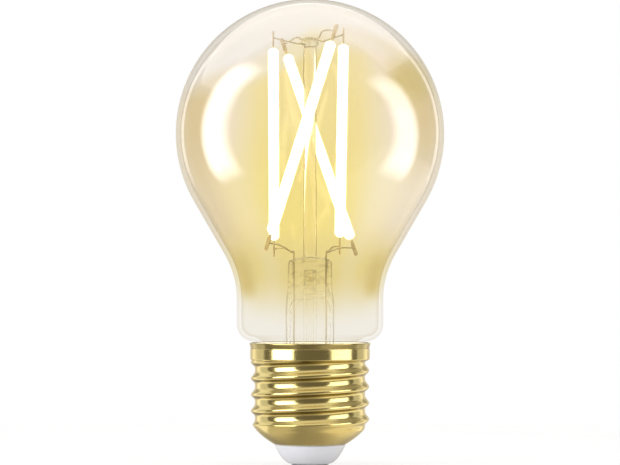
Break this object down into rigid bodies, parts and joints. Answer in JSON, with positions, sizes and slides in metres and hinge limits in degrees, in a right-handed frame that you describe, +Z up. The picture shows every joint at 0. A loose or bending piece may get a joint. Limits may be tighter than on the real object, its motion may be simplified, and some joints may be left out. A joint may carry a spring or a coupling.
{
  "type": "smart light bulb",
  "caption": "Amber glass LED filament bulb with a twisted cage of glowing rods on a glass stem, a brass screw cap and a radio driver inside the cap",
  "frame": {"origin": "middle of the flat underside of the centre contact, on the bulb's axis", "axes": "+Z up along the bulb's axis from the cap to the dome, -Y towards the viewer of the picture, +X to the right of the picture"},
  "size_m": [0.0598, 0.0598, 0.1048],
  "materials": {
    "amber_glass": "clear amber coated glass, glossy",
    "stem_glass": "clear glass, glossy",
    "phosphor": "phosphor silicone, lit",
    "led_strip": "white ceramic carrier",
    "tab_steel": "plated steel, warm grey",
    "lead_wire": "drawn nickel wire, warm grey",
    "brass": "polished brass, rolled thread",
    "white_insulator": "white moulded insulator, satin",
    "contact_metal": "plated contact, grey",
    "basing_cement": "matt basing cement",
    "insulating_sleeve": "white insulating film",
    "circuit_board": "green solder mask",
    "chip_black": "black moulded package",
    "capacitor_sleeve": "dark shrink sleeve",
    "ferrite": "dark ferrite",
    "copper": "enamelled copper",
    "resistor_body": "lacquered body",
    "shield_tin": "tinned shield can"
  },
  "bodies": {
    "root": {"glass_envelope": "amber_glass", "stem_flare": "stem_glass", "exhaust_tube": "stem_glass", "centre_rod": "stem_glass", "rod_button": "stem_glass", "filament_1_coating": "phosphor", "filament_2_coating": "phosphor", "filament_3_coating": "phosphor", "filament_4_coating": "phosphor", "filament_1_led_strip": "led_strip", "filament_2_led_strip": "led_strip", "filament_3_led_strip": "led_strip", "filament_4_led_strip": "led_strip", "filament_1_upper_tab": "tab_steel", "filament_2_upper_tab": "tab_steel", "filament_3_upper_tab": "tab_steel", "filament_4_upper_tab": "tab_steel", "filament_1_lower_tab": "tab_steel", "filament_2_lower_tab": "tab_steel", "filament_3_lower_tab": "tab_steel", "filament_4_lower_tab": "tab_steel", "support_wire_1": "lead_wire", "support_wire_2": "lead_wire", "support_wire_3": "lead_wire", "support_wire_4": "lead_wire", "lead_wire_1": "lead_wire", "lead_wire_2": "lead_wire", "lead_wire_3": "lead_wire", "lead_wire_4": "lead_wire", "screw_shell": "brass", "cap_insulator": "white_insulator", "centre_contact": "contact_metal", "basing_cement": "basing_cement", "insulating_sleeve": "insulating_sleeve", "driver_board": "circuit_board", "bridge_rectifier": "chip_black", "driver_chip": "chip_black", "bulk_capacitor": "capacitor_sleeve", "inductor_core": "ferrite", "inductor_winding": "copper", "fusible_resistor": "resistor_body", "radio_board": "circuit_board", "radio_shield": "shield_tin", "radio_aerial": "copper", "contact_lead": "copper", "shell_lead": "copper"}
  },
  "joints": []
}
